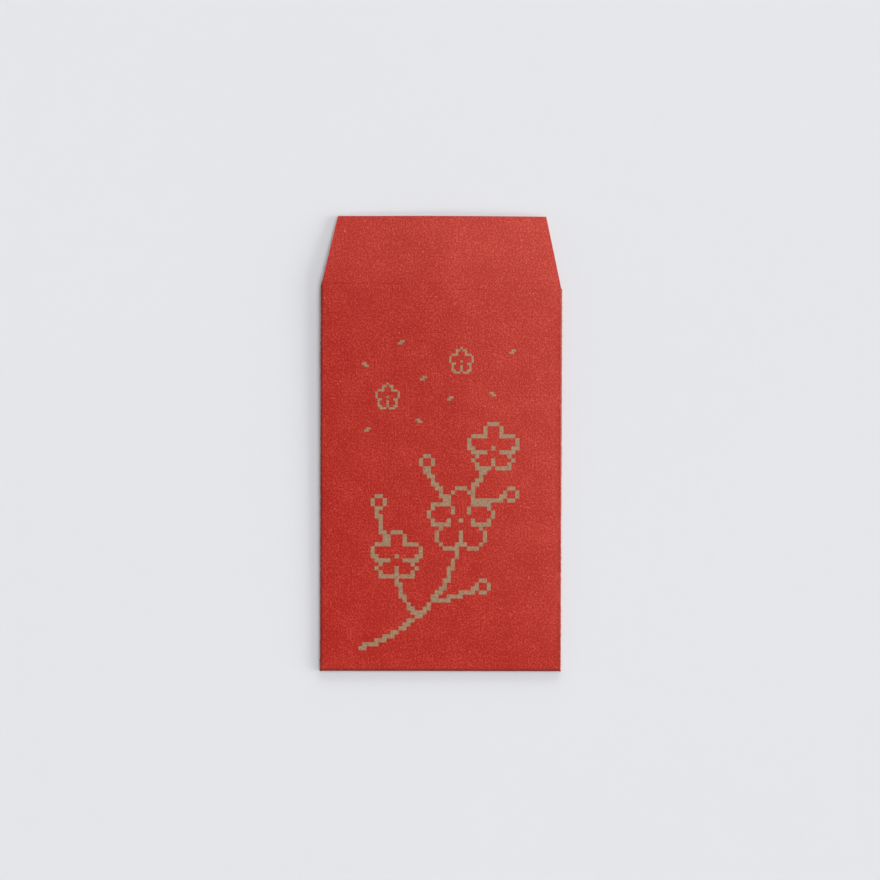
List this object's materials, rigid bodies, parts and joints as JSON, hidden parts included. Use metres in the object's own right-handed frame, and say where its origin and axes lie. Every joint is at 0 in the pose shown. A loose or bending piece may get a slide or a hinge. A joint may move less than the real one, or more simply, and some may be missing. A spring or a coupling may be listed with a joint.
{
  "type": "money envelope",
  "caption": "Small flat paper envelope for a gift of money, folded from one sheet, with a centre seam on its back and a tapered top flap that folds shut behind its mouth.",
  "frame": {"origin": "middle of the whole outline, flap open, on the surface that the envelope lies on", "axes": "+X across the width, +Y from the bottom fold towards the open flap, +Z out of the front face"},
  "size_m": [0.065, 0.1226, 0.002],
  "materials": {
    "paper": "uncoated, dyed red, felt texture",
    "glue": "dried white glue"
  },
  "bodies": {
    "pocket": {"front_panel": "paper", "left_back_panel": "paper", "right_back_panel": "paper", "bottom_flap": "paper", "left_fold": "paper", "right_fold": "paper", "bottom_fold": "paper", "seam_glue": "glue", "bottom_flap_glue": "glue"},
    "flap": {"top_flap": "paper"}
  },
  "joints": [
    {"name": "flap_fold", "type": "hinge", "parent": "pocket", "child": "flap", "pos_m": [0, 0.04309, 0.00102], "axis": [-1, 0, 0], "range_deg": [-3.4, 177]}
  ]
}
